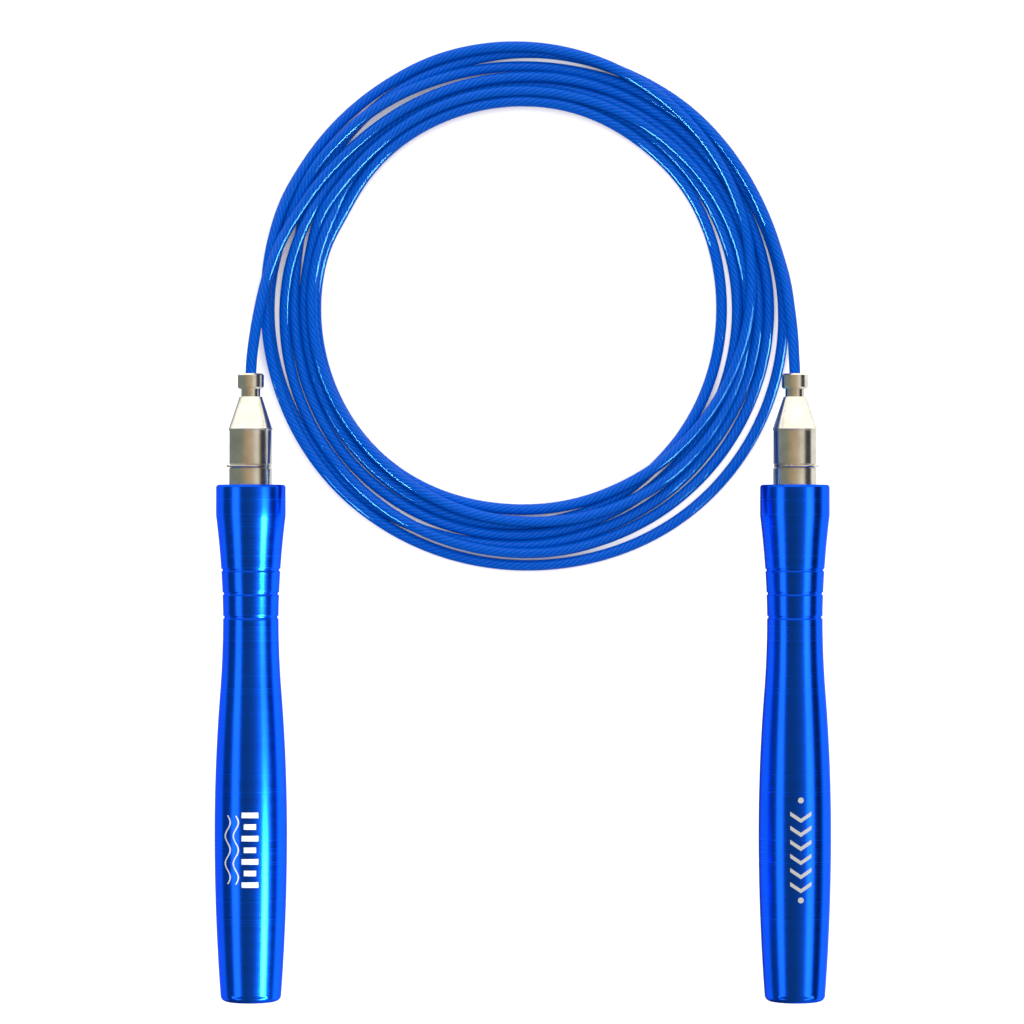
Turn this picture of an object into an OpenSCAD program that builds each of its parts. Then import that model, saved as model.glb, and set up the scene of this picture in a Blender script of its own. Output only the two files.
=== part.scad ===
// Adjustable jump rope with two turned grips on ball-bearing swivels, lying flat with its
// cable coiled. Millimetres. +Z is up and +Y runs from the grip ends towards the coil.
// The origin is on the surface that the rope lies on, midway between the two grips.
// Each handle is drawn upright on its own axis, with z = 0 at the grip's head face, the
// grip below it and the fitting above it, and place() then lays it down on its side.

/* [Grip] */
// Length of a grip, from its head face to its end
grip_len = 161.3; // [158:0.1:166]
// Diameter of the band at the grip's head
head_d = 21.7; // [20:0.1:24]
// Length of that band
head_len = 9.6; // [8:0.1:12]
// Smallest diameter, at the waist
waist_d = 17.3; // [16.6:0.1:19]
// Distance of the waist from the head face
waist_at = 41.5; // [38:0.5:46]
// Largest diameter, at the belly
belly_d = 22.6; // [22:0.1:25]
// Distance of the belly from the head face
belly_at = 109; // [100:0.5:116]
// Diameter at the end, before its corner is rounded
end_d = 18.6; // [17:0.1:21]
// Radius of the rounded corner at the head
head_round = 0.9; // [0.3:0.1:1.5]
// Radius of the rounded corner at the end
end_round = 1.8; // [0.5:0.1:2.2]
// Number of finger grooves round the grip
groove_count = 3; // [1:1:4]
// Distance of the first finger groove from the head face
groove_at = 26.7; // [24:0.1:30]
// Distance between finger grooves
groove_pitch = 7.35; // [5:0.05:9]
// Width of a finger groove
groove_w = 0.8; // [0.5:0.1:1.2]
// Depth of a finger groove
groove_depth = 0.35; // [0.2:0.05:0.5]

/* [Fitting] */
// Length of the fitting that stands out of the grip
fitting_len = 34.7; // [33:0.1:36]
// Diameter of the release button
button_d = 8.2; // [7.5:0.1:9]
// Thickness of the release button
button_len = 4.75; // [4:0.05:5.5]
// How far the release button travels
release_travel = 2.2; // [1.5:0.1:2.3]
// Diameter of the sliding ball carrier, which shows as the neck
carrier_d = 6.0; // [5.8:0.1:6.1]
// Length of the cone below the neck
cone_len = 9.95; // [8:0.05:11]
// Diameter of the cone's tip
cone_tip_d = 6.9; // [6.8:0.1:8]
// Diameter of the cone's base
cone_base_d = 13.9; // [13.6:0.1:14.4]
// Diameter of the gripper's round body
gripper_d = 13.4; // [12.6:0.1:13.6]
// Diameter of the loose washer under the gripper
washer_d = 14.2; // [13:0.1:15]
// Thickness of that washer
washer_len = 0.6; // [0.4:0.05:0.65]
// How far the loose washer hangs off centre
washer_shift = 0.5; // [0:0.1:0.55]
// Diameter of the threaded collar that closes the grip
collar_d = 13.5; // [12.6:0.1:14]
// Length of the collar outside the grip
collar_len = 5.45; // [5:0.05:6]

/* [Cable] */
// Diameter of the coated cable
cable_d = 3.4; // [2.5:0.1:3.5]
// Radius of the coil's innermost turn, to the cable's centre line
coil_inner_r = 62.6; // [62:0.1:66]
// Radius of the coil's outermost turn, to the cable's centre line
coil_outer_r = 82; // [78:0.1:82.5]
// Height of the flat coil
coil_height = 7.4; // [7:0.1:8.4]

/* [Layout] */
// Distance between the axes of the two handles
handle_gap = 170; // [168:0.5:172]
// Distance of the coil's centre from the origin, along Y
coil_centre_y = 119.4; // [118:0.1:120]

/* [Hidden] */
$fn = 96;
// Running gap between parts that turn or slide on each other
gap = 0.03;

// The grip's outline
waist_r = waist_d / 2;
belly_r = belly_d / 2;
flare = 1.8;
outline_steps = 44;

// Places along a handle's axis, from the grip's head face, and the fitting's small edges
fitting_top = fitting_len;
button_base = fitting_top - button_len;
travel_spare = 0.25;
cone_top = button_base - release_travel - travel_spare;
cone_base = cone_top - cone_len;
rim_len = 0.55;
collar_edge = 0.4;
button_edge = 0.5;
button_dish = 0.8;
washer_gap = 0.05;
gripper_base = collar_len + washer_gap + washer_len;
thread_depth = 6;

// The ball bearings are the common 6 x 12 x 4 size
bearing_bore_r = 3;
bearing_r = 6;
bearing_w = 4;
bearing_gap = 6;
ball_r = 1;
ball_count = 8;
pitch_r = (bearing_bore_r + bearing_r) / 2;
race_wall = 0.9;
cage_wall = 0.7;
cage_back = 1.5;
cage_front = 0.45;
bearing_relief = 0.5;
bearings_top = -thread_depth;
rear_bearing_top = bearings_top - bearing_w - bearing_gap;
bearings_end = rear_bearing_top - bearing_w;
FRONT = bearings_top - bearing_w / 2;
REAR = rear_bearing_top - bearing_w / 2;

// The grip's bore behind its bearings
shoulder_r = 5;
shoulder_len = 6;
cavity_r = 6.2;
plug_len = 8;
plug_wall = 1.6;

// Spindle
shaft_r = 3.5;
shaft_gap = 0.2;
cable_bore_r = 1.95;
boss_r = 4.55;
boss_len = 3.6;
clip_w = 0.8;
clip_r = 4.1;
clip_groove_r = 2.6;
clip_opening = 3;
spindle_tail = 2;
spindle_end = bearings_end - clip_w - spindle_tail;

// Ball lock: three balls in a sliding carrier wedge between the cable and a cone
lock_ball_r = 1.2;
lock_ball_count = 3;
lock_ball_gap = 0.02;
lock_depth = 0.85;
lock_at = cone_base - lock_depth;
lock_orbit = cable_d / 2 + lock_ball_r + lock_ball_gap;
taper = 0.15;
taper_len = 5.8;
taper_top = lock_at + taper_len;
chamber_r = 4.6;
window_margin = 1.8;
carrier_base = lock_at - window_margin;
carrier_gap = 0.1;
guide_gap = 0.08;
flange_r = 3.9;
flange_len = 0.5;
spigot_r = 2.4;

// Lock spring
wire_r = 0.3;
spring_r = 3;
spring_turns = 4;
spring_steps = 16;
spring_low = gripper_base + boss_len + wire_r;
spring_high = carrier_base - wire_r;

// The cable's own ends inside the handles
tail_end = -45;
ferrule_len = 8;
ferrule_r = 2.6;

// Laying the handles down
axis_height = belly_d / 2;
head_y = (grip_len - fitting_len) / 2;

// Routes of the two leads, each from the face of its button: how far inwards, how far
// along +Y and how far up. They come down onto the coil and run into it.
LEFT_ROUTE = [
    [0, 0, 0],
    [0.2, 4, 0],
    [1, 11, -0.2],
    [2.5, 20, -0.8],
    [4.5, 29, -2],
    [7.5, 38, -3.4],
    [11, 46, -4.6],
    [13.5, 51, -5.2]
];
RIGHT_ROUTE = [
    [0, 0, 0],
    [0.2, 4, 0],
    [0.5, 11, -0.2],
    [1.4, 20, -0.8],
    [3.3, 29, -2],
    [6, 38, -3.4],
    [9, 46, -4.6],
    [11.5, 51, -5.2]
];
TUBE_SIDES = 8;
coil_edge = 2;

SIDES = ["left", "right"];
PIECES = [
    "handle", "end_cap", "retaining_collar",
    "front_bearing_outer_ring", "front_bearing_inner_ring", "front_bearing_balls",
    "front_bearing_cage",
    "rear_bearing_outer_ring", "rear_bearing_inner_ring", "rear_bearing_balls",
    "rear_bearing_cage",
    "outer_spacer", "inner_spacer", "spindle", "circlip", "thrust_washer",
    "gripper_body", "ball_carrier", "release_button", "lock_balls", "lock_spring",
    "cable_end", "cable_ferrule"
];

// An S-curve from 0 to 1, of two parabolas that meet at turn
function s_curve(t, turn = 0.35) =
    t < turn ? t * t / turn : 1 - pow(1 - t, 2) / (1 - turn);

// Radius of the grip at a distance from its head face: band, flare, swell and tail
function grip_r(s) =
    s <= head_len ? head_d / 2 :
    s < waist_at ? waist_r + (head_d / 2 - waist_r) * pow((waist_at - s) / (waist_at - head_len), flare) :
    s < belly_at ? waist_r + (belly_r - waist_r) * s_curve((s - waist_at) / (belly_at - waist_at)) :
    belly_r - (belly_r - end_d / 2) * pow((s - belly_at) / (grip_len - belly_at), 2);

// Points of a quarter circle, clockwise from an angle
function corner(centre, r, from) =
    [for (a = [0 : 15 : 90]) centre + r * [cos(from - a), sin(from - a)]];

// Radius of the gripper's inner taper at a height: it clears the lock balls by a hair
function taper_r(z) = lock_orbit + lock_ball_r * norm([1, taper]) + gap + taper * (lock_at - z);

// Half of the grip's outline, from its head face down to its end
function grip_outline() =
    let (tail = grip_len - end_round)
    concat(
        [[0, 0]],
        corner([head_d / 2 - head_round, -head_round], head_round, 90),
        [for (i = [0 : outline_steps - 1])
            let (s = head_len + (tail - head_len) * i / outline_steps) [grip_r(s), -s]],
        corner([grip_r(tail) - end_round, -tail], end_round, 0),
        [[0, -grip_len]]
    );

// A tube swept along points, with flat ends square to its route
module sweep(points, r, sides) {
    last = len(points) - 1;
    not_upright = [0.01, 0, 1];
    function unit(v) = v / norm(v);
    function along(i) = unit(points[min(i + 1, last)] - points[max(i - 1, 0)]);
    function ring(i) =
        let (a = unit(cross(along(i), not_upright)), b = cross(along(i), a))
        [for (k = [0 : sides - 1])
            points[i] + r * (cos(360 * k / sides) * a + sin(360 * k / sides) * b)];
    polyhedron(
        points = [for (i = [0 : last]) each ring(i)],
        faces = concat(
            [[for (k = [0 : sides - 1]) k]],
            [for (i = [0 : last - 1], k = [0 : sides - 1])
                let (next = (k + 1) % sides)
                [i * sides + k, (i + 1) * sides + k, (i + 1) * sides + next, i * sides + next]],
            [[for (k = [sides - 1 : -1 : 0]) last * sides + k]]
        )
    );
}

// A ring round the axis, from one height to a higher one
module ring(inner_r, outer_r, low, high) {
    rotate_extrude()
        translate([inner_r, low])
            square([outer_r - inner_r, high - low]);
}

// Bearing parts, each centred at a height on the axis
module outer_ring(at) {
    color("silver")
        rotate_extrude()
            difference() {
                translate([bearing_r - race_wall, at - bearing_w / 2])
                    square([race_wall, bearing_w]);
                translate([pitch_r, at])
                    circle(ball_r + gap);
            }
}

module inner_ring(at) {
    color("silver")
        rotate_extrude()
            difference() {
                translate([bearing_bore_r, at - bearing_w / 2])
                    square([race_wall, bearing_w]);
                translate([pitch_r, at])
                    circle(ball_r + gap);
            }
}

module at_each_ball(at) {
    for (i = [0 : ball_count - 1])
        rotate(360 * i / ball_count)
            translate([pitch_r, 0, at])
                children();
}

module balls(at) {
    color("gainsboro")
        at_each_ball(at)
            sphere(ball_r, $fn = 48);
}

module cage(at) {
    color("darkgoldenrod")
        difference() {
            ring(pitch_r - cage_wall / 2, pitch_r + cage_wall / 2, at - cage_back, at + cage_front);
            at_each_ball(at)
                sphere(ball_r + 2 * gap, $fn = 48);
        }
}

// The turned grip: a solid of its outline, its finger grooves and its stepped bore
module handle() {
    color("royalblue")
        difference() {
            rotate_extrude()
                polygon(grip_outline());
            for (i = [0 : groove_count - 1])
                finger_groove(groove_at + i * groove_pitch);
            translate([0, 0, bearings_end])
                cylinder(r = bearing_r, h = 1 - bearings_end);
            translate([0, 0, bearings_end - shoulder_len - 1])
                cylinder(r = shoulder_r, h = shoulder_len + 2);
            translate([0, 0, -grip_len - 1])
                cylinder(r = cavity_r, h = grip_len + 1 + bearings_end - shoulder_len);
        }
}

module finger_groove(s) {
    ring(grip_r(s) - groove_depth, belly_r, -s - groove_w / 2, -s + groove_w / 2);
}

// A plug pressed into the grip's open end, flush with it
module end_cap() {
    color("royalblue")
        translate([0, 0, -grip_len])
            difference() {
                cylinder(r = cavity_r, h = plug_len);
                translate([0, 0, plug_wall])
                    cylinder(r = cavity_r - plug_wall, h = plug_len);
            }
}

// The collar that screws into the grip's head and holds both bearings down
module retaining_collar() {
    color("lightgray")
        difference() {
            rotate_extrude()
                polygon([
                    [0, bearings_top],
                    [bearing_r, bearings_top],
                    [bearing_r, 0],
                    [collar_d / 2, 0],
                    [collar_d / 2, collar_len - collar_edge],
                    [collar_d / 2 - collar_edge, collar_len],
                    [0, collar_len]
                ]);
            translate([0, 0, bearings_top - 1])
                cylinder(r = shaft_r + shaft_gap, h = thread_depth + collar_len + 2);
            translate([0, 0, bearings_top - 1])
                cylinder(r = bearing_r - race_wall, h = 1 + bearing_relief);
        }
}

module outer_spacer() {
    color("silver")
        ring(bearing_r - race_wall, bearing_r, rear_bearing_top, rear_bearing_top + bearing_gap);
}

module inner_spacer() {
    color("silver")
        ring(bearing_bore_r, bearing_bore_r + race_wall, rear_bearing_top, rear_bearing_top + bearing_gap);
}

// The spindle screws into the gripper; the bearings' inner rings sit between its
// shoulder and the circlip
module spindle() {
    color("silver")
        rotate_extrude()
            polygon([
                [cable_bore_r, spindle_end],
                [bearing_bore_r, spindle_end],
                [bearing_bore_r, bearings_end - clip_w],
                [clip_groove_r, bearings_end - clip_w],
                [clip_groove_r, bearings_end],
                [bearing_bore_r, bearings_end],
                [bearing_bore_r, bearings_top],
                [shaft_r, bearings_top],
                [shaft_r, gripper_base],
                [boss_r, gripper_base],
                [boss_r, gripper_base + boss_len],
                [cable_bore_r, gripper_base + boss_len]
            ]);
}

module circlip() {
    color("dimgray")
        difference() {
            ring(clip_groove_r, clip_r, bearings_end - clip_w, bearings_end);
            translate([0, 0, bearings_end - clip_w / 2])
                rotate(45)
                    translate([0, -clip_opening / 2, -clip_w])
                        cube([2 * clip_r, clip_opening, 2 * clip_w]);
        }
}

// A loose washer between the turning collar and the gripper
module thrust_washer() {
    color("whitesmoke")
        translate([washer_shift, 0, 0])
            ring(shaft_r + washer_shift + gap, washer_d / 2, gripper_base - washer_len, gripper_base);
}

// The gripper's cone and round body, with a taper inside for the three lock balls
module gripper_body() {
    color("lightgray")
        rotate_extrude()
            polygon([
                [chamber_r, gripper_base],
                [gripper_d / 2 - collar_edge, gripper_base],
                [gripper_d / 2, gripper_base + collar_edge],
                [gripper_d / 2, cone_base - rim_len],
                [cone_base_d / 2, cone_base - rim_len],
                [cone_base_d / 2, cone_base],
                [cone_tip_d / 2, cone_top],
                [carrier_d / 2 + guide_gap, cone_top],
                [carrier_d / 2 + guide_gap, taper_top],
                [taper_r(taper_top), taper_top],
                [taper_r(carrier_base), carrier_base],
                [chamber_r, carrier_base]
            ]);
}

// The tube that carries the lock balls, with a flange for the spring and a spigot on top
module ball_carrier() {
    color("silver")
        difference() {
            rotate_extrude()
                polygon([
                    [cable_d / 2 + carrier_gap, carrier_base],
                    [flange_r, carrier_base],
                    [flange_r, carrier_base + flange_len],
                    [carrier_d / 2, carrier_base + flange_len],
                    [carrier_d / 2, button_base],
                    [spigot_r, button_base],
                    [spigot_r, fitting_top - button_dish],
                    [cable_d / 2 + carrier_gap, fitting_top - button_dish]
                ]);
            for (i = [0 : lock_ball_count - 1])
                rotate([0, 90, 360 * i / lock_ball_count])
                    translate([-lock_at, 0, 0])
                        cylinder(r = lock_ball_r + gap, h = flange_r);
        }
}

// The button that is pressed to let the cable slide
module release_button() {
    color("lightgray")
        rotate_extrude()
            polygon([
                [spigot_r, button_base],
                [button_d / 2 - button_edge, button_base],
                [button_d / 2, button_base + button_edge],
                [button_d / 2, fitting_top - button_edge],
                [button_d / 2 - button_edge, fitting_top],
                [cable_d / 2 + carrier_gap, fitting_top],
                [cable_d / 2 + carrier_gap, fitting_top - button_dish],
                [spigot_r, fitting_top - button_dish]
            ]);
}

module lock_balls() {
    color("gainsboro")
        for (i = [0 : lock_ball_count - 1])
            rotate(360 * i / lock_ball_count)
                translate([lock_orbit, 0, lock_at])
                    sphere(lock_ball_r, $fn = 48);
}

module lock_spring() {
    steps = spring_turns * spring_steps;
    points = [for (i = [0 : steps])
        [spring_r * cos(360 * i / spring_steps), spring_r * sin(360 * i / spring_steps),
         spring_low + (spring_high - spring_low) * i / steps]];
    color("silver")
        sweep(points, wire_r, TUBE_SIDES);
}

// The straight end of the cable, which the lock balls hold inside the fitting
module cable_end() {
    color("steelblue")
        translate([0, 0, tail_end])
            cylinder(d = cable_d, h = fitting_top - tail_end);
}

module cable_ferrule() {
    color("silver")
        ring(cable_d / 2, ferrule_r, tail_end, tail_end + ferrule_len);
}

// The free cable between the button and the coil
module cable_lead(side) {
    way = side == "left" ? 1 : -1;
    start = [-way * handle_gap / 2, head_y + fitting_len, axis_height];
    route = side == "left" ? LEFT_ROUTE : RIGHT_ROUTE;
    points = [for (p = route) start + [way * p[0], p[1], p[2]]];
    color("steelblue")
        sweep(points, cable_d / 2, TUBE_SIDES);
}

// The outer shape of the coiled cable, which lies on the surface
module cable_coil() {
    inner = coil_inner_r - cable_d / 2;
    outer = coil_outer_r + cable_d / 2;
    color("steelblue")
        translate([0, coil_centre_y, 0])
            rotate_extrude()
                polygon([
                    [inner, coil_edge],
                    [inner + coil_edge, 0],
                    [outer - coil_edge, 0],
                    [outer, coil_edge],
                    [outer, coil_height - coil_edge],
                    [outer - coil_edge, coil_height],
                    [inner + coil_edge, coil_height],
                    [inner, coil_height - coil_edge]
                ]);
}

// Lays an upright handle down on its side, with its fitting towards the coil
module place(side) {
    translate([(side == "left" ? -1 : 1) * handle_gap / 2, head_y, axis_height])
        rotate([-90, 0, 0])
            rotate(side == "left" ? 180 : 0)
                children();
}

module piece(name) {
    if (name == "handle") handle();
    if (name == "end_cap") end_cap();
    if (name == "retaining_collar") retaining_collar();
    if (name == "front_bearing_outer_ring") outer_ring(FRONT);
    if (name == "front_bearing_inner_ring") inner_ring(FRONT);
    if (name == "front_bearing_balls") balls(FRONT);
    if (name == "front_bearing_cage") cage(FRONT);
    if (name == "rear_bearing_outer_ring") outer_ring(REAR);
    if (name == "rear_bearing_inner_ring") inner_ring(REAR);
    if (name == "rear_bearing_balls") balls(REAR);
    if (name == "rear_bearing_cage") cage(REAR);
    if (name == "outer_spacer") outer_spacer();
    if (name == "inner_spacer") inner_spacer();
    if (name == "spindle") spindle();
    if (name == "circlip") circlip();
    if (name == "thrust_washer") thrust_washer();
    if (name == "gripper_body") gripper_body();
    if (name == "ball_carrier") ball_carrier();
    if (name == "release_button") release_button();
    if (name == "lock_balls") lock_balls();
    if (name == "lock_spring") lock_spring();
    if (name == "cable_end") cable_end();
    if (name == "cable_ferrule") cable_ferrule();
}

for (side = SIDES) {
    for (name = PIECES)
        place(side) piece(name);
    cable_lead(side);
}
cable_coil();
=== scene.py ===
"""Looks of an adjustable jump rope: two turned, blue anodised grips with nickel-plated
fittings on ball bearings, and a coated steel cable lying in a loose coil between them.

Lengths are in millimetres until a mesh is made, and Blender's own are in metres. A handle
is described upright, as pairs of radius and height above its grip's head face, with the
grip below zero and the fitting above it. Its axis lies along Y in the frame.
"""

import math

import bmesh
import bpy
import numpy as np
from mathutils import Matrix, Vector


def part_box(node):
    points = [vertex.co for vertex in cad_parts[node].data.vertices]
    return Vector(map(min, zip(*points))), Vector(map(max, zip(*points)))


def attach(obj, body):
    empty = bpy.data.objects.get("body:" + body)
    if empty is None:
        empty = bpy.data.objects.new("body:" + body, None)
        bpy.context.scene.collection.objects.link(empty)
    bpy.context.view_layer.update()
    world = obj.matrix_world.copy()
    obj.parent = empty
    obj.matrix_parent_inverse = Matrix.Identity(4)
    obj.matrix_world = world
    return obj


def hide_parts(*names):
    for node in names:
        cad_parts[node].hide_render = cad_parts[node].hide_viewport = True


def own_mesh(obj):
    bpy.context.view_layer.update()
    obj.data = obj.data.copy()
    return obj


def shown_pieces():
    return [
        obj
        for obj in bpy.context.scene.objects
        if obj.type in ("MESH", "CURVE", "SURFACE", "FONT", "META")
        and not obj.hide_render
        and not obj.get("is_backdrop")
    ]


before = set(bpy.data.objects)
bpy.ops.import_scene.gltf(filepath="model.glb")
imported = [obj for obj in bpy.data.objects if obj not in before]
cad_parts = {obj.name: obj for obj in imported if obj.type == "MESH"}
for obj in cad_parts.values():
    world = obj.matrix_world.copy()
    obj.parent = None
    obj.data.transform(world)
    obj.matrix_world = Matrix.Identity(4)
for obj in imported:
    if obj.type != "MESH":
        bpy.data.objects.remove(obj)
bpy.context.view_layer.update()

MM = 0.001
SIDES = {"left": -1, "right": 1}

# Layout
HALF_GAP = 85.0
HEAD_Y = 63.3
AXIS_Z = 11.3
COIL_Y = 119.4

# Grip
GRIP_LEN = 161.3
HEAD_R, HEAD_LEN = 10.85, 9.6
WAIST_R, WAIST_AT = 8.65, 41.5
BELLY_R, BELLY_AT = 11.3, 109.0
END_R = 9.3
HEAD_ROUND, END_ROUND = 0.9, 1.8
FLARE = 1.8
SWELL_TURN = 0.35
GROOVE_AT, GROOVE_PITCH, GROOVE_COUNT = 26.7, 7.35, 3
GROOVE_W, GROOVE_DEPTH = 0.8, 0.35
BEARING_R, BEARINGS_END = 6.0, 20.0
SHOULDER_R, SHOULDER_LEN = 5.0, 6.0
CAVITY_R = 6.2
PLUG_LEN, PLUG_WALL = 8.0, 1.6

# Fitting
FITTING_LEN = 34.7
COLLAR_R, COLLAR_LEN = 6.75, 5.45
COLLAR_BORE_R, THREAD_DEPTH, BEARING_RELIEF = 3.7, 6.0, 0.5
RACE_WALL = 0.9
WASHER_R, WASHER_LEN, WASHER_SHIFT, WASHER_BORE_R = 7.1, 0.6, 0.5, 4.03
GRIPPER_R, GRIPPER_BASE = 6.7, 6.1
RIM_R, RIM_LEN = 6.95, 0.55
CONE_BASE, CONE_TOP, CONE_TIP_R = 17.55, 27.5, 3.45
CARRIER_R = 3.0
BUTTON_R, BUTTON_LEN, BUTTON_EDGE, BUTTON_DISH = 4.1, 4.75, 0.5, 0.8
SPIGOT_R = 2.4
EDGE = 0.4

# Ball lock, inside the gripper
LOCK_BALL_R = 1.2
LOCK_AT = CONE_BASE - 0.85
LOCK_ORBIT = 2.92
TAPER, TAPER_LEN = 0.15, 5.8
CHAMBER_R = 4.6
GUIDE_R = 3.08
CARRIER_BASE = LOCK_AT - 1.8
CARRIER_BORE_R = 1.8
FLANGE_R, FLANGE_LEN = 3.9, 0.5
GAP = 0.03
SPRING_R, SPRING_TURNS = 3.0, 4

# Cable
CABLE_D = 3.4
CABLE_STEP = 2.0
CABLE_SIDES = 24
STRANDS = 8
LAY = 17.7

# Routes of the two leads, each from the face of its button: how far inwards, how far
# along +Y and how far up
LEFT_ROUTE = [
    (0, 0, 0), (0.2, 4, 0), (1, 11, -0.2), (2.5, 20, -0.8),
    (4.5, 29, -2), (7.5, 38, -3.4), (11.4, 46, -4.6), (14.2, 50.5, -5.2),
    (21.8, 60.9, -5.8), (33.5, 72.9, -6.0), (49, 83.8, -6.2),
]
RIGHT_ROUTE = [
    (0, 0, 0), (0.2, 4, 0), (0.5, 11, -0.2), (1.4, 20, -0.8),
    (2.7, 29, -2), (5.2, 38.3, -3.4), (7.9, 46.5, -4.6), (10.1, 51.7, -5.2),
]
# Where the coil passes, an eighth of a turn at a time and clockwise from its top, after the
# left lead: its radius, and how many cables it lies on. Each line is one turn.
TURNS = [
    (72.0, 1), (75.2, 0), (77.2, 0), (77.7, 0), (77.3, 0.6), (76.8, 1), (74.8, 0.8), (71.2, 0.5),
    (69.8, 0), (71.6, 0), (73.3, 0), (73.9, 0), (74.8, 0), (78.8, 0), (79.9, 0), (77.8, 1),
    (75.6, 0), (77.4, 0), (82.0, 0), (83.2, 0), (81.4, 0), (81.1, 1), (80.6, 1), (81.6, 0.3),
    (81.4, 1), (77.5, 1.4), (71.4, 1.4), (66.0, 1), (63.9, 0), (65.6, 0), (65.2, 0.4), (65.1, 0.4),
    (64.8, 0.6), (64.0, 0), (62.6, 0), (64.9, 0), (69.1, 0), (69.4, 0.5), (68.8, 0.8), (67.8, 1),
    (67.3, 1.2), (68.9, 0.8), (71.4, 0.5), (70.8, 1), (67.7, 1), (66.0, 1), (66.4, 1), (66.6, 0.2),
    (66.4, 0), (66.8, 0), (67.8, 0), (69.4, 0), (71.8, 0.5), (73.0, 0.3), (71.8, 0), (77.2, 0),
    (80.0, 0), (80.2, 0.8),
]
STEPS_A_TURN = 8


# ---------------------------------------------------------------- camera

def make_camera():
    """Straight above, with +Y upwards in the picture."""
    height = 1.3
    shown_width = 320 * MM
    data = bpy.data.cameras.new("camera")
    data.sensor_width = 36
    data.lens = data.sensor_width * (height - AXIS_Z * MM) / shown_width
    data.clip_start, data.clip_end = 0.1, 20
    camera = bpy.data.objects.new("camera", data)
    camera.location = (-3.4 * MM, 54.75 * MM, height)
    bpy.context.scene.collection.objects.link(camera)
    bpy.context.scene.camera = camera


make_camera()


# ---------------------------------------------------------------- the cable's route

def lead(route, way):
    """A lead's points in the frame; way is 1 for the left handle and -1 for the right."""
    start = np.array([-way * HALF_GAP, HEAD_Y + FITTING_LEN, AXIS_Z])
    return start + np.array(route, float) * [way, 1, 1]


def clockwise(points):
    """Clockwise angle in degrees and radius of points about the coil's centre."""
    d = points[:, :2] - [0, COIL_Y]
    return -np.degrees(np.arctan2(d[:, 1], d[:, 0])), np.hypot(d[:, 0], d[:, 1])


def spline(knots, values, at):
    """A smooth curve through values at knots, read at other places."""
    slope = np.gradient(values, knots)
    i = np.clip(np.searchsorted(knots, at, side="right") - 1, 0, len(knots) - 2)
    h = knots[i + 1] - knots[i]
    t = (at - knots[i]) / h
    return (
        (2 * t**3 - 3 * t**2 + 1) * values[i] + (t**3 - 2 * t**2 + t) * h * slope[i]
        + (3 * t**2 - 2 * t**3) * values[i + 1] + (t**3 - t**2) * h * slope[i + 1]
    )


def evenly(points, step):
    """The same line, with its points about step apart."""
    s = np.concatenate([[0], np.cumsum(np.linalg.norm(np.diff(points, axis=0), axis=1))])
    at = np.linspace(0, s[-1], int(round(s[-1] / step)) + 1)
    return np.stack([np.interp(at, s, points[:, k]) for k in range(3)], axis=1)


def planned_route():
    """The cable from button to button, in polar form about the coil's centre."""
    left, right = lead(LEFT_ROUTE, 1), lead(RIGHT_ROUTE, -1)[::-1]
    turns = np.array(TURNS)
    left_angle, left_r = clockwise(left)
    left_angle[left_angle > 0] -= 360
    right_angle, right_r = clockwise(right)
    turned = 360 / STEPS_A_TURN * np.arange(len(TURNS))
    whole_turns = len(TURNS) // STEPS_A_TURN
    angle = np.concatenate([left_angle, turned - 90, right_angle + 360 * whole_turns])
    radius = np.concatenate([left_r, turns[:, 0], right_r])
    height = np.concatenate([
        left[:, 2], CABLE_D / 2 + turns[:, 1] * CABLE_D, right[:, 2],
    ])
    at = np.linspace(angle[0], angle[-1], 4000)
    r, z, a = spline(angle, radius, at), spline(angle, height, at), np.radians(at)
    route = np.stack([r * np.cos(a), COIL_Y - r * np.sin(a), z], axis=1)
    return evenly(route, CABLE_STEP)


def near_pairs(p, reach, skip):
    """Pairs of points of one line that are nearer than reach, but not along the line."""
    first, second = [], []
    block = 400
    for a in range(0, len(p), block):
        apart = np.linalg.norm(p[a : a + block, None] - p[None], axis=2)
        i, j = np.nonzero(apart < reach)
        keep = j - (i + a) > skip
        first.append(i[keep] + a)
        second.append(j[keep])
    return np.concatenate(first), np.concatenate(second)


def settled(goal, d, passes=400):
    """Lets the cable sink onto the floor and onto itself, without crossing through itself.
    It keeps close to its planned route in plan, and bends smoothly."""
    p, n, held = goal.copy(), len(goal), 3
    sink, last_sink, hold, sideways = 0.05, 0.01, 0.08, 0.7
    skip = math.ceil(2 * d / CABLE_STEP)
    for k in range(passes):
        if k % 10 == 0:
            first, second = near_pairs(p, 1.6 * d, skip)
        p[:, 2] -= sink if k < 0.75 * passes else last_sink
        p[:, :2] += hold * (goal[:, :2] - p[:, :2])
        off = p - goal
        for _ in range(4):
            off[1:-1] += 0.25 * (off[2:] - 2 * off[1:-1] + off[:-2])
        p = goal + off
        z = p[:, 2]
        for _ in range(6):
            z[2:-2] += 0.1 * (-z[4:] + 4 * z[3:-1] - 6 * z[2:-2] + 4 * z[1:-3] - z[:-4])
        for _ in range(3):
            apart = p[second] - p[first]
            distance = np.linalg.norm(apart, axis=1)
            hit = distance < d
            a, b, distance = first[hit], second[hit], distance[hit]
            push = apart[hit] / distance[:, None] * (d - distance)[:, None] / 2
            push[:, :2] *= sideways
            touches = np.maximum(np.bincount(a, minlength=n) + np.bincount(b, minlength=n), 1)
            for c in range(3):
                moved = np.bincount(b, push[:, c], n) - np.bincount(a, push[:, c], n)
                p[:, c] += moved / np.sqrt(touches)
            p[:, 2] = np.maximum(p[:, 2], d / 2)
        p[:held], p[-held:] = goal[:held], goal[-held:]
    return p


# ---------------------------------------------------------------- meshes

SMOOTH_BELOW = math.radians(35)


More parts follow.
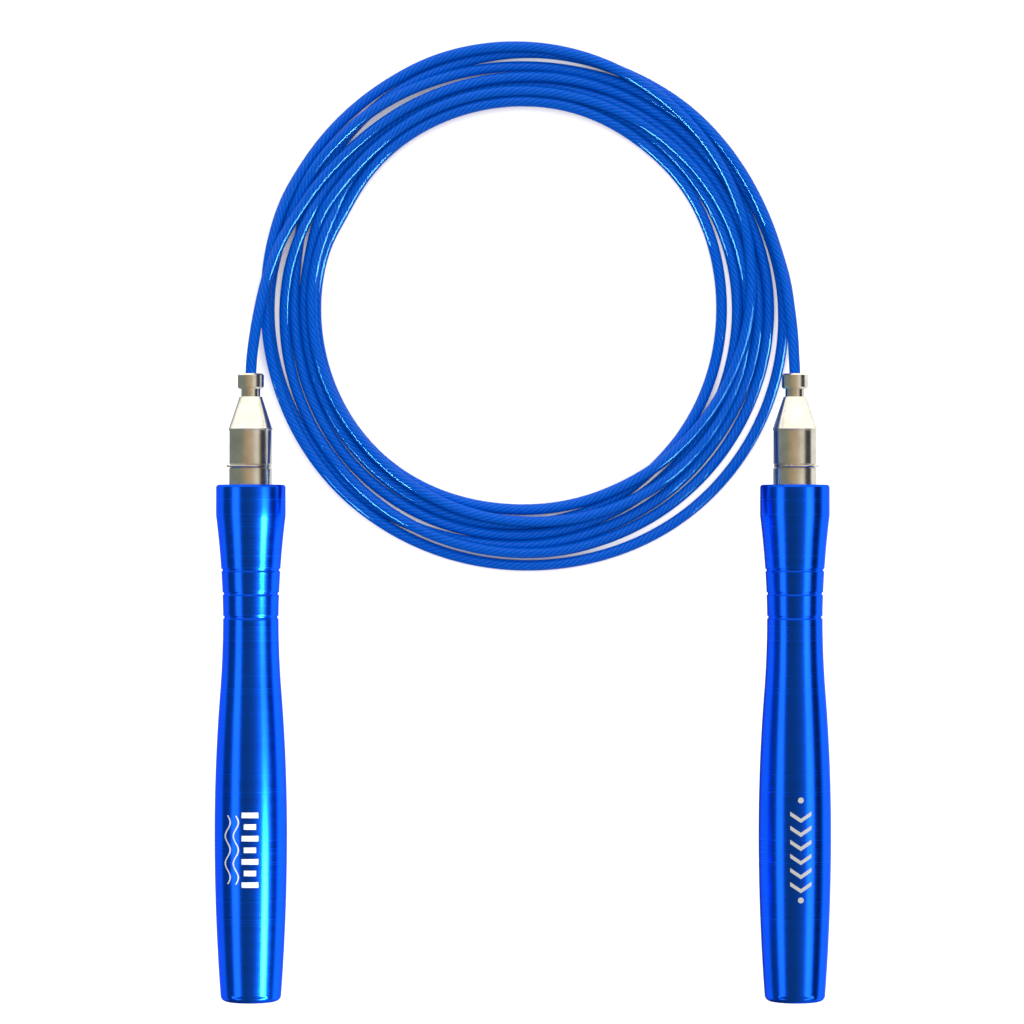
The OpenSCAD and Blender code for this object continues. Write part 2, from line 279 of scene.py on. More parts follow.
def linked(name, mesh):
    """A new piece of that mesh, shaded smooth except across its sharp edges."""
    mesh.shade_smooth()
    mesh.set_sharp_from_angle(angle=SMOOTH_BELOW)
    piece = bpy.data.objects.new(name, mesh)
    bpy.context.scene.collection.objects.link(piece)
    return piece


def outwards(mesh):
    """Turns every face of a closed mesh to the outside."""
    bm = bmesh.new()
    bm.from_mesh(mesh)
    bmesh.ops.recalc_face_normals(bm, faces=bm.faces)
    bm.to_mesh(mesh)
    bm.free()
    return mesh


def cable_tube(name, points, d, sides):
    """A round tube along points, with a UV map of turns round it and lengths of lay."""
    n = len(points)
    along = np.gradient(points, axis=0)
    along /= np.linalg.norm(along, axis=1)[:, None]
    a = np.cross(along, [0, 0, 1])
    a /= np.linalg.norm(a, axis=1)[:, None]
    b = np.cross(a, along)
    turn = 2 * np.pi * np.arange(sides) / sides
    rings = points[:, None] + d / 2 * (
        np.cos(turn)[None, :, None] * a[:, None] + np.sin(turn)[None, :, None] * b[:, None]
    )
    s = np.concatenate([[0], np.cumsum(np.linalg.norm(np.diff(points, axis=0), axis=1))])
    faces, uvs = [], []
    for i in range(n - 1):
        for k in range(sides):
            k2 = (k + 1) % sides
            faces.append((i * sides + k, i * sides + k2, (i + 1) * sides + k2, (i + 1) * sides + k))
            low, high = s[i] / LAY, s[i + 1] / LAY
            u, u2 = k / sides, (k + 1) / sides
            uvs += [(u, low), (u2, low), (u2, high), (u, high)]
    faces.append(tuple(range(sides)))
    faces.append(tuple(range((n - 1) * sides, n * sides)))
    uvs += [(0, 0)] * (2 * sides)
    mesh = bpy.data.meshes.new(name)
    mesh.from_pydata((rings.reshape(-1, 3) * MM).tolist(), [], faces)
    layer = mesh.uv_layers.new(name="lay")
    layer.data.foreach_set("uv", np.array(uvs, np.float32).ravel())
    return linked(name, outwards(mesh))


def revolved(name, profile, centre_x, segments=128):
    """A closed surface of revolution about a handle's axis. The profile is a loop of
    radius and height; a point of no radius is one vertex on the axis."""
    verts, rings, faces = [], [], []
    for r, w in profile:
        if r == 0:
            rings.append([len(verts)] * segments)
            verts.append((centre_x, HEAD_Y + w, AXIS_Z))
            continue
        rings.append(list(range(len(verts), len(verts) + segments)))
        for k in range(segments):
            t = 2 * math.pi * k / segments
            verts.append((centre_x + r * math.sin(t), HEAD_Y + w, AXIS_Z + r * math.cos(t)))
    for low, high in zip(rings, rings[1:] + rings[:1]):
        for k in range(segments):
            k2 = (k + 1) % segments
            corners = list(dict.fromkeys([low[k], low[k2], high[k2], high[k]]))
            if len(corners) > 2:
                faces.append(corners)
    mesh = bpy.data.meshes.new(name)
    mesh.from_pydata([tuple(c * MM for c in v) for v in verts], [], faces)
    return linked(name, outwards(mesh))


def rounded(corner_r, corner_w, r, from_angle, steps=8):
    """A quarter circle about a point, clockwise from an angle."""
    angles = [math.radians(from_angle - 90 * i / steps) for i in range(steps + 1)]
    return [(corner_r + r * math.cos(a), corner_w + r * math.sin(a)) for a in angles]


# ---------------------------------------------------------------- outlines

def s_curve(t):
    """From 0 to 1, in two parabolas."""
    return t * t / SWELL_TURN if t < SWELL_TURN else 1 - (1 - t) ** 2 / (1 - SWELL_TURN)


def grip_r(s):
    """Radius of the grip at a distance from its head face: band, flare, swell and tail."""
    if s <= HEAD_LEN:
        return HEAD_R
    if s < WAIST_AT:
        return WAIST_R + (HEAD_R - WAIST_R) * ((WAIST_AT - s) / (WAIST_AT - HEAD_LEN)) ** FLARE
    if s < BELLY_AT:
        return WAIST_R + (BELLY_R - WAIST_R) * s_curve((s - WAIST_AT) / (BELLY_AT - WAIST_AT))
    return BELLY_R - (BELLY_R - END_R) * ((s - BELLY_AT) / (GRIP_LEN - BELLY_AT)) ** 2


def grip_profile():
    """The grip's outside with its finger grooves, then its stepped bore."""
    tail = GRIP_LEN - END_ROUND
    soft = 0.12
    grooves = [GROOVE_AT + i * GROOVE_PITCH for i in range(GROOVE_COUNT)]
    skin = []
    for s in np.linspace(HEAD_LEN, tail, 220):
        if all(abs(s - g) > GROOVE_W / 2 + 2 * soft for g in grooves):
            skin.append((s, grip_r(s)))
    for g in grooves:
        floor = grip_r(g) - GROOVE_DEPTH
        near, far = g - GROOVE_W / 2, g + GROOVE_W / 2
        skin += [
            (near - soft, grip_r(near)), (near - soft / 3, grip_r(near) - soft / 3),
            (near, grip_r(near) - soft), (near + soft / 3, floor + soft / 3),
            (near + soft, floor), (far - soft, floor), (far - soft / 3, floor + soft / 3),
            (far, grip_r(far) - soft), (far + soft / 3, grip_r(far) - soft / 3),
            (far + soft, grip_r(far)),
        ]
    skin.sort()
    mouth = 0.3
    return [
        (BEARING_R, -mouth), (BEARING_R + mouth, 0),
        *rounded(HEAD_R - HEAD_ROUND, -HEAD_ROUND, HEAD_ROUND, 90),
        *[(r, -s) for s, r in skin],
        *rounded(grip_r(tail) - END_ROUND, -tail, END_ROUND, 0),
        (CAVITY_R, -GRIP_LEN), (CAVITY_R, -BEARINGS_END - SHOULDER_LEN),
        (SHOULDER_R, -BEARINGS_END - SHOULDER_LEN), (SHOULDER_R, -BEARINGS_END),
        (BEARING_R, -BEARINGS_END),
    ]


def cap_profile():
    """A plug in the grip's open end, with a turned ring and a centre mark on its face."""
    face = -GRIP_LEN
    inner = CAVITY_R - PLUG_WALL
    edge, ring, dimple = 0.25, 0.15, 0.5
    return [
        (0, face + ring), (dimple, face), (4.2, face), (4.35, face + ring), (4.65, face + ring),
        (4.8, face), (CAVITY_R - edge, face), (CAVITY_R, face + edge),
        (CAVITY_R, face + PLUG_LEN), (inner, face + PLUG_LEN), (inner, face + PLUG_WALL),
        (0, face + PLUG_WALL),
    ]


def collar_profile():
    relief = -THREAD_DEPTH + BEARING_RELIEF
    return [
        (COLLAR_BORE_R, relief), (BEARING_R - RACE_WALL, relief),
        (BEARING_R - RACE_WALL, -THREAD_DEPTH), (BEARING_R, -THREAD_DEPTH), (BEARING_R, 0),
        (COLLAR_R, 0), (COLLAR_R, COLLAR_LEN - EDGE), (COLLAR_R - EDGE, COLLAR_LEN),
        (COLLAR_BORE_R, COLLAR_LEN),
    ]


def washer_profile():
    low, high, soft = GRIPPER_BASE - WASHER_LEN, GRIPPER_BASE, 0.15
    return [
        (WASHER_BORE_R, low), (WASHER_R - soft, low), (WASHER_R, low + soft),
        (WASHER_R, high - soft), (WASHER_R - soft, high), (WASHER_BORE_R, high),
    ]


def taper_r(w):
    """Radius of the gripper's inner taper."""
    return LOCK_ORBIT + LOCK_BALL_R * math.hypot(1, TAPER) + GAP + TAPER * (LOCK_AT - w)


def gripper_profile():
    soft = 0.1
    taper_top = LOCK_AT + TAPER_LEN
    return [
        (CHAMBER_R, GRIPPER_BASE), (GRIPPER_R - EDGE, GRIPPER_BASE),
        (GRIPPER_R, GRIPPER_BASE + EDGE), (GRIPPER_R, CONE_BASE - RIM_LEN),
        (RIM_R - soft, CONE_BASE - RIM_LEN), (RIM_R, CONE_BASE - RIM_LEN + soft),
        (RIM_R, CONE_BASE - soft), (RIM_R - soft, CONE_BASE),
        (CONE_TIP_R + soft, CONE_TOP - soft), (CONE_TIP_R - soft, CONE_TOP),
        (GUIDE_R, CONE_TOP), (GUIDE_R, taper_top), (taper_r(taper_top), taper_top),
        (taper_r(CARRIER_BASE), CARRIER_BASE), (CHAMBER_R, CARRIER_BASE),
    ]


def carrier_profile():
    base, button = CARRIER_BASE, FITTING_LEN - BUTTON_LEN
    top = FITTING_LEN - BUTTON_DISH
    return [
        (CARRIER_BORE_R, base), (FLANGE_R, base), (FLANGE_R, base + FLANGE_LEN),
        (CARRIER_R, base + FLANGE_LEN), (CARRIER_R, button), (SPIGOT_R, button),
        (SPIGOT_R, top), (CARRIER_BORE_R, top),
    ]


def button_profile():
    base, top = FITTING_LEN - BUTTON_LEN, FITTING_LEN
    return [
        (SPIGOT_R, base), (BUTTON_R - BUTTON_EDGE, base), (BUTTON_R, base + BUTTON_EDGE),
        (BUTTON_R, top - BUTTON_EDGE), (BUTTON_R - BUTTON_EDGE, top), (CARRIER_BORE_R, top),
        (CARRIER_BORE_R, top - BUTTON_DISH), (SPIGOT_R, top - BUTTON_DISH),
    ]


# ---------------------------------------------------------------- materials

class Material:
    """A node-based material, built with short calls. Numbers are set on sockets."""

    def __init__(self, name, **sockets):
        self.made = bpy.data.materials.new(name)
        self.made.use_nodes = True
        self.tree = self.made.node_tree
        self.tree.nodes.clear()
        self.shader = self.node("ShaderNodeBsdfPrincipled")
        output = self.node("ShaderNodeOutputMaterial")
        self.tree.links.new(self.shader.outputs[0], output.inputs["Surface"])
        for socket, value in sockets.items():
            self.put(self.shader.inputs[socket.replace("_", " ")], value)

    def put(self, socket, value):
        if isinstance(value, bpy.types.NodeSocket):
            self.tree.links.new(value, socket)
        elif isinstance(value, tuple) and socket.type == "RGBA":
            socket.default_value = (*value, 1)
        else:
            socket.default_value = value

    def node(self, kind, inputs=(), **settings):
        made = self.tree.nodes.new(kind)
        for name, value in settings.items():
            setattr(made, name, value)
        for i, value in dict(inputs).items():
            self.put(made.inputs[i], value)
        return made

    def place(self, x=1, y=1, z=1):
        """Position on the object, in the frame, times a scale per axis."""
        where = self.node("ShaderNodeTexCoord").outputs["Object"]
        return self.node("ShaderNodeMapping", {"Vector": where, "Scale": (x, y, z)}).outputs[0]

    def noise(self, vector, scale, detail=3, roughness=0.5):
        inputs = {"Vector": vector, "Scale": scale, "Detail": detail, "Roughness": roughness}
        return self.node("ShaderNodeTexNoise", inputs).outputs["Fac"]

    def math(self, operation, *values, clamp=False):
        made = self.node("ShaderNodeMath", operation=operation, use_clamp=clamp)
        for i, value in enumerate(values):
            self.put(made.inputs[i], value)
        return made.outputs[0]

    def between(self, fac, low, high, start=0.0, end=1.0):
        """Maps fac from start..end to low..high."""
        inputs = {"Value": fac, "From Min": start, "From Max": end, "To Min": low, "To Max": high}
        return self.node("ShaderNodeMapRange", inputs).outputs[0]

    def colours(self, fac, *stops):
        """A ramp of (place, colour)."""
        ramp = self.node("ShaderNodeValToRGB", {"Fac": fac})
        while len(ramp.color_ramp.elements) < len(stops):
            ramp.color_ramp.elements.new(0.5)
        for element, (place, colour) in zip(ramp.color_ramp.elements, stops):
            element.position, element.color = place, (*colour, 1)
        return ramp.outputs["Color"]

    def finish(self, colour=None, roughness=None, height=None, depth=0.00002, strength=1.0):
        """Links what varies: colour, roughness, and a bump height of that depth in metres."""
        if colour is not None:
            self.put(self.shader.inputs["Base Color"], colour)
        if roughness is not None:
            self.put(self.shader.inputs["Roughness"], roughness)
        if height is not None:
            inputs = {"Height": height, "Distance": depth, "Strength": strength}
            bump = self.node("ShaderNodeBump", inputs).outputs[0]
            self.put(self.shader.inputs["Normal"], bump)
        return self.made


def anodised(name, deep, bright):
    """Blue anodised aluminium with the fine rings that a lathe leaves."""
    m = Material(
        name, Metallic=1.0, Specular_Tint=(0.1, 0.4, 1.0),
        Coat_Weight=0.05, Coat_Roughness=0.15, Coat_IOR=1.5,
    )
    fine = m.noise(m.place(0, 1, 0), 2600, 2)
    wide = m.noise(m.place(0, 1, 0), 420, 2)
    rings = m.math("ADD", m.math("MULTIPLY", fine, 0.7), m.math("MULTIPLY", wide, 0.3))
    cloud = m.noise(m.place(), 60, 2)
    tone = m.math("ADD", m.math("MULTIPLY", rings, 0.6), m.math("MULTIPLY", cloud, 0.4))
    return m.finish(
        colour=m.colours(tone, (0.3, deep), (0.7, bright)),
        roughness=m.between(rings, 0.17, 0.30, 0.3, 0.7),
        height=rings, depth=0.000012, strength=0.35,
    )


def plated(name, dark, light, grain=3800, low=0.15, high=0.27, bump=0.35):
    """Satin plating: a fine grain, faint turning marks and slightly uneven tone."""
    m = Material(name, Metallic=1.0)
    speck = m.noise(m.place(), grain, 3, 0.6)
    rings = m.noise(m.place(0, 1, 0), 1500, 2)
    cloud = m.noise(m.place(), 240, 3)
    tone = m.math("ADD", m.math("MULTIPLY", speck, 0.45), m.math("MULTIPLY", cloud, 0.55))
    height = m.math("ADD", m.math("MULTIPLY", speck, 0.8), m.math("MULTIPLY", rings, 0.2))
    return m.finish(
        colour=m.colours(tone, (0.35, dark), (0.65, light)),
        roughness=m.between(speck, low, high, 0.3, 0.7),
        height=height, depth=0.00002, strength=bump,
    )


def coated_cable(name):
    """A stranded steel cable seen through a clear blue coating. Its colour holds painted shade in the
    grooves between the wires, and painted highlights broken into glints on their crests.
    """
    m = Material(
        name, Metallic=0.0, Specular_IOR_Level=0.0,
        Coat_Weight=0.25, Coat_Roughness=0.06, Coat_IOR=1.5,
    )
    uv = m.node("ShaderNodeUVMap", uv_map="lay").outputs[0]
    parts = m.node("ShaderNodeSeparateXYZ", {"Vector": uv})
    wobble = m.math("MULTIPLY", m.noise(m.place(), 150, 2), 0.5)
    turn = m.math("SUBTRACT", parts.outputs[0], parts.outputs[1])
    phase = m.math("ADD", m.math("MULTIPLY", turn, STRANDS), wobble)
    wave = m.math("ABSOLUTE", m.math("SINE", m.math("MULTIPLY", phase, math.pi)))
    # Painted light: the colour darkens in the grooves of the lay as painted shade, and brightens on the
    # crests as painted glints
    painted_glint = m.noise(m.place(), 900, 3, 0.6)
    painted_crest_highlight = m.math("MULTIPLY", m.math("POWER", wave, 6.0), m.between(painted_glint, 0, 1, 0.35, 0.65))
    tone = m.math("ADD", m.math("MULTIPLY", wave, 0.55), m.math("MULTIPLY", painted_crest_highlight, 0.45))
    return m.finish(
        colour=m.colours(
            tone, (0.0, (0.0, 0.055, 0.42)), (0.45, (0.0, 0.085, 0.58)), (1.0, (0.0, 0.130, 0.80)),
        ),
        roughness=m.between(wave, 0.38, 0.26),
        height=wave, depth=0.00006, strength=0.2,
    )


def engraved(name):
    """Bare metal where a laser has burnt the anodising away: pale, matte and stippled."""
    m = Material(name, Metallic=0.25)
    dots = m.noise(m.place(), 5200, 2, 0.6)
    lines = m.noise(m.place(0, 1, 0), 3600, 1)
    tone = m.math("ADD", m.math("MULTIPLY", dots, 0.6), m.math("MULTIPLY", lines, 0.4))
    return m.finish(
        colour=m.colours(tone, (0.3, (0.44, 0.47, 0.52)), (0.7, (0.66, 0.68, 0.72))),
        roughness=m.between(dots, 0.5, 0.68), height=dots, depth=0.00002, strength=0.3,
    )


def floor_material():
    """A pale translucent table with a little light under it."""
    m = Material("floor", Roughness=0.9, Emission_Color=(1.0, 1.0, 1.0), Emission_Strength=0.05)
    cloud = m.noise(m.place(), 6, 2)
    return m.finish(colour=m.colours(cloud, (0.0, (0.88, 0.88, 0.88)), (1.0, (0.92, 0.92, 0.92))))


BLUE = {"deep": (0.003, 0.078, 0.76), "bright": (0.003, 0.098, 0.90)}
NICKEL = ((0.72, 0.69, 0.63), (0.92, 0.89, 0.83))
MATERIALS = {
    "anodised_grip": anodised("anodised_grip", **BLUE),
    "grip_end_cap": anodised("grip_end_cap", **BLUE),
    "nickel_collar": plated("nickel_collar", *NICKEL),
    "nickel_gripper": plated("nickel_gripper", *NICKEL),
    "nickel_button": plated("nickel_button", (0.74, 0.71, 0.65), (0.94, 0.91, 0.85)),
    "nickel_carrier": plated("nickel_carrier", (0.70, 0.67, 0.61), (0.90, 0.87, 0.81)),
    "washer_steel": plated(
        "washer_steel", (0.70, 0.66, 0.58), (0.86, 0.82, 0.74), low=0.12, high=0.22,
    ),
    "bearing_steel": plated(
        "bearing_steel", (0.50, 0.50, 0.51), (0.62, 0.62, 0.63), low=0.10, high=0.18, bump=0.1,
    ),
    "ball_steel": plated(
        "ball_steel", (0.66, 0.66, 0.67), (0.76, 0.76, 0.77),
        grain=2000, low=0.05, high=0.10, bump=0.05,
    ),
    "brass_cage": plated("brass_cage", (0.55, 0.36, 0.11), (0.72, 0.50, 0.18), low=0.25, high=0.4),
    "spacer_steel": plated("spacer_steel", (0.44, 0.44, 0.45), (0.58, 0.58, 0.60)),
    "spindle_steel": plated("spindle_steel", (0.46, 0.46, 0.47), (0.60, 0.60, 0.61)),
    "spring_steel": plated("spring_steel", (0.36, 0.36, 0.38), (0.50, 0.50, 0.52), low=0.2, high=0.3),
    "ferrule_metal": plated("ferrule_metal", (0.52, 0.53, 0.55), (0.70, 0.71, 0.73), low=0.3, high=0.45),
    "cable_coating": coated_cable("cable_coating"),
    "engraving": engraved("engraving"),
}

# The CAD nodes that keep their own meshes, by the end of their names
CAD_FINISHES = {
    "bearing_outer_ring": "bearing_steel",
    "bearing_inner_ring": "bearing_steel",
    "bearing_balls": "ball_steel",
    "bearing_cage": "brass_cage",
    "outer_spacer": "spacer_steel",
    "inner_spacer": "spacer_steel",
    "spindle": "spindle_steel",
    "circlip": "spring_steel",
    "lock_balls": "ball_steel",
    "cable_end": "cable_coating",
    "cable_ferrule": "ferrule_metal",
}


def paint(piece, finish):
    piece.data.materials.clear()
    piece.data.materials.append(MATERIALS[finish])
    return piece


# ---------------------------------------------------------------- the cable

route = settled(planned_route(), CABLE_D)
cable = paint(cable_tube("cable", route, CABLE_D, CABLE_SIDES), "cable_coating")
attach(cable, "rope")
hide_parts("left_cable_lead", "right_cable_lead", "cable_coil")


# ---------------------------------------------------------------- the handles

# Each turned part's outline, its body after the side's name, and its finish
TURNED = {
    "handle": (grip_profile, "grip", "anodised_grip"),
    "end_cap": (cap_profile, "grip", "grip_end_cap"),
    "retaining_collar": (collar_profile, "grip", "nickel_collar"),
    "thrust_washer": (washer_profile, None, "washer_steel"),
    "gripper_body": (gripper_profile, None, "nickel_gripper"),
    "ball_carrier": (carrier_profile, "release", "nickel_carrier"),
    "release_button": (button_profile, "release", "nickel_button"),
}


def cut_windows(carrier, centre_x, way):
    """Cuts the three ball windows through the carrier's wall."""
    bm = bmesh.new()
    for i in range(3):
        turn = 2 * math.pi * i / 3
        out = Vector((way * math.cos(turn), 0, way * math.sin(turn)))
        made = bmesh.ops.create_cone(
            bm, cap_ends=True, segments=48, radius1=(LOCK_BALL_R + GAP) * MM,
            radius2=(LOCK_BALL_R + GAP) * MM, depth=2 * FLANGE_R * MM,
        )
        spin = out.to_track_quat("Z", "Y").to_matrix().to_4x4()
        bmesh.ops.transform(bm, matrix=spin, verts=made["verts"])
        centre = Vector((centre_x, HEAD_Y + LOCK_AT, AXIS_Z)) * MM + out * FLANGE_R * MM
        bmesh.ops.translate(bm, vec=centre, verts=made["verts"])
    mesh = bpy.data.meshes.new("cutter")
    bm.to_mesh(mesh)
    bm.free()
    cutter = bpy.data.objects.new("cutter", mesh)
    bpy.context.scene.collection.objects.link(cutter)
    modifier = carrier.modifiers.new("windows", "BOOLEAN")
    modifier.object, modifier.operation, modifier.solver = cutter, "DIFFERENCE", "EXACT"
    made = bpy.data.meshes.new_from_object(
        carrier.evaluated_get(bpy.context.evaluated_depsgraph_get())
    )
    carrier.modifiers.remove(modifier)
    carrier.data = made
    carrier.data.shade_smooth()
    carrier.data.set_sharp_from_angle(angle=SMOOTH_BELOW)
    bpy.data.objects.remove(cutter)


def make_turned(side, way):
    for part, (profile, body, finish) in TURNED.items():
        centre_x = way * (HALF_GAP + (WASHER_SHIFT if part == "thrust_washer" else 0))
        piece = revolved(f"{side}_turned_{part}", profile(), centre_x)
        if part == "ball_carrier":
            cut_windows(piece, centre_x, way)
        paint(piece, finish)
        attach(piece, f"{side}_{body}" if body else "rope")
        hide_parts(f"{side}_{part}")


# ---------------------------------------------------------------- engraved marks

def disc(x, s, r, count=24):
    """A round dot: across and along the grip."""
    turn = [2 * math.pi * i / count for i in range(count)]
    return [(x + r * math.cos(t), s + r * math.sin(t)) for t in turn]


def wave(centre, first, last):
    """A fine wavy line along the grip."""
    count, waves, swing, half_width = 90, 2.5, 0.8, 0.22
    line = []
    for i in range(count + 1):
        s = first + (last - first) * i / count
        line.append((centre + swing * math.sin(2 * math.pi * waves * i / count), s))
    return [(x + half_width, s) for x, s in line] + [(x - half_width, s) for x, s in line[::-1]]


def right_marks():
    """A row of chevrons with a dot at each end."""
    shapes = []
    centre, first, last, half = 1.1, 97.0, 129.8, 3.3
    shapes.append(disc(centre, first + 0.9, 0.9))
    shapes.append(disc(centre, last - 0.9, 0.9))
    count, rise, width = 6, 2.2, 1.25
    for i in range(count):
        s = first + 4.4 + i * (last - first - 8.8 - rise) / (count - 1)
        shapes.append([
            (centre - half, s), (centre, s + rise), (centre + half, s),
            (centre + half, s + width), (centre, s + rise + width), (centre - half, s + width),
        ])
    return shapes


def left_marks():
    """A ladder of bars beside two fine waves."""
    shapes = []
    first, last = 101.7, 125.0
    low, high = -2.2, 3.0
    count, thick = 7, 1.7
    for i in range(count):
        s = first + i * (last - first - thick) / (count - 1)
        inset = 0.7 * (i % 2)
        shapes.append([
            (low + inset, s), (high - inset, s), (high - inset, s + thick), (low + inset, s + thick),
        ])
    for centre in (-4.0, -6.6):
        shapes.append(wave(centre, first + 1.0, last - 1.0))
    return shapes


def inlay(name, shapes, centre_x):
    """Thin closed patches that follow the grip's surface: they lie on it by a hair."""
    above, below = 0.015, 0.06
    cell = 0.25
    bm = bmesh.new()

    def at(x, s, lift):
        r = grip_r(s) + lift
        tilt = math.asin(max(-1, min(1, x / grip_r(s))))
        return (
            (centre_x + r * math.sin(tilt)) * MM, (HEAD_Y - s) * MM, (AXIS_Z + r * math.cos(tilt)) * MM,
        )

    for outline in shapes:
        # Long edges are cut up so that the patch can follow the curve
        fine = []
        for (x0, s0), (x1, s1) in zip(outline, outline[1:] + outline[:1]):
            pieces = max(1, int(math.hypot(x1 - x0, s1 - s0) / cell))
            for k in range(pieces):
                fine.append((x0 + (x1 - x0) * k / pieces, s0 + (s1 - s0) * k / pieces))
        bm.faces.new([bm.verts.new((x, s, 0)) for x, s in fine])
    # Flat shapes are cut across the grip, so that each face is narrow
    for k in range(-40, 41):
        geometry = bm.verts[:] + bm.edges[:] + bm.faces[:]
        bmesh.ops.bisect_plane(bm, geom=geometry, plane_co=(k * cell, 0, 0), plane_no=(1, 0, 0))
    made = bmesh.ops.extrude_face_region(bm, geom=bm.faces[:], use_keep_orig=True)
    top = {v for v in made["geom"] if isinstance(v, bmesh.types.BMVert)}
    for v in bm.verts:
        v.co = at(v.co.x, v.co.y, above if v in top else -below)
    bmesh.ops.recalc_face_normals(bm, faces=bm.faces)
    mesh = bpy.data.meshes.new(name)
    bm.to_mesh(mesh)
    bm.free()
    return linked(name, mesh)


for side, way in SIDES.items():
    make_turned(side, way)
    marks = left_marks() if side == "left" else right_marks()
    mark = paint(inlay(f"{side}_grip_mark", marks, way * HALF_GAP), "engraving")
    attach(mark, f"{side}_grip")

for name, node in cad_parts.items():
    for ending, finish in CAD_FINISHES.items():
        if name.endswith(ending) and not node.hide_render:
            paint(node, finish)


# ---------------------------------------------------------------- lock springs

def make_spring(side):
    """The lock spring, in the place of the CAD one, with a mesh of its own."""
    low, high = (Vector(corner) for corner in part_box(f"{side}_lock_spring"))
    wire = (high.x - low.x) / 2 - SPRING_R * MM
    centre_x, centre_z = (low.x + high.x) / 2, (low.z + high.z) / 2
    steps_a_turn, sides = 40, 16
    steps = SPRING_TURNS * steps_a_turn
    verts, faces = [], []
    for i in range(steps + 1):
        turn = 2 * math.pi * SPRING_TURNS * i / steps
        along = low.y + wire + (high.y - low.y - 2 * wire) * i / steps
        for k in range(sides):
            t = 2 * math.pi * k / sides
            r = SPRING_R * MM + wire * math.cos(t)
            verts.append((
                centre_x + r * math.cos(turn), along + wire * math.sin(t), centre_z + r * math.sin(turn),
            ))
    for i in range(steps):
        for k in range(sides):
            a, b = i * sides + k, i * sides + (k + 1) % sides
            faces.append((a, b, b + sides, a + sides))
    faces.append(tuple(range(sides)))
    faces.append(tuple(range(steps * sides, (steps + 1) * sides)))
    mesh = bpy.data.meshes.new(f"{side}_spring")
    mesh.from_pydata(verts, [], faces)
    spring = paint(linked(f"{side}_coiled_lock_spring", outwards(mesh)), "spring_steel")
    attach(spring, "rope")
    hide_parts(f"{side}_lock_spring")
    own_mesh(spring)


for side in SIDES:
    make_spring(side)


# ---------------------------------------------------------------- floor and lights

def make_floor():
    """The table that the rope lies on, in metres. Gloss looks through it to the room below,
    and the lights under it shine up through it."""
    mesh = bpy.data.meshes.new("floor")
    half = 3.0
    corners = [(-half, -half, 0), (half, -half, 0), (half, half, 0), (-half, half, 0)]
    mesh.from_pydata(corners, [], [(0, 1, 2, 3)])
    floor = linked("floor", mesh)
    floor.data.materials.append(floor_material())
    floor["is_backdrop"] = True
    floor.visible_glossy = floor.visible_shadow = False
    return floor


def collection_of(name, objects):
    made = bpy.data.collections.new(name)
    for o in objects:
        made.objects.link(o)
    return made


def softbox(name, angle, centre_y, size, radiance, colour=(1, 1, 1), distance=1.2, lights=None,
            bearing=0, glossy=True, diffuse=True, bounces=0, blockers=None):
    """A soft light in metres, at an angle from straight up and at a bearing anticlockwise
    from +X, that faces the rope. size is how wide and how long it is, with its length along
    Y at no bearing and upwards at any other. radiance is how bright it looks, lights the
    collection it falls on, and blockers the one that shades it, or None for everything."""
    data = bpy.data.lights.new(name, "AREA")
    data.shape = "RECTANGLE"
    data.size, data.size_y = size
    data.energy = math.pi * size[0] * size[1] * radiance
    data.color = colour
    data.cycles.max_bounces = bounces
    box = bpy.data.objects.new(name, data)
    a = math.radians(angle)
    if bearing:
        b = math.radians(bearing)
        out = Vector((math.sin(a) * math.cos(b), math.sin(a) * math.sin(b), math.cos(a)))
        box.location = distance * out + Vector((0, centre_y, 0))
        box.rotation_mode = "QUATERNION"
        box.rotation_quaternion = (-out).to_track_quat("-Z", "Y")
    else:
        box.location = (distance * math.sin(a), centre_y, distance * math.cos(a))
        box.rotation_euler = (0, a, 0)
    box.visible_camera, box.visible_glossy, box.visible_diffuse = False, glossy, diffuse
    bpy.context.scene.collection.objects.link(box)
    if lights is not None:
        box.light_linking.receiver_collection = lights
    if blockers is not None:
        box.light_linking.blocker_collection = blockers
    return box


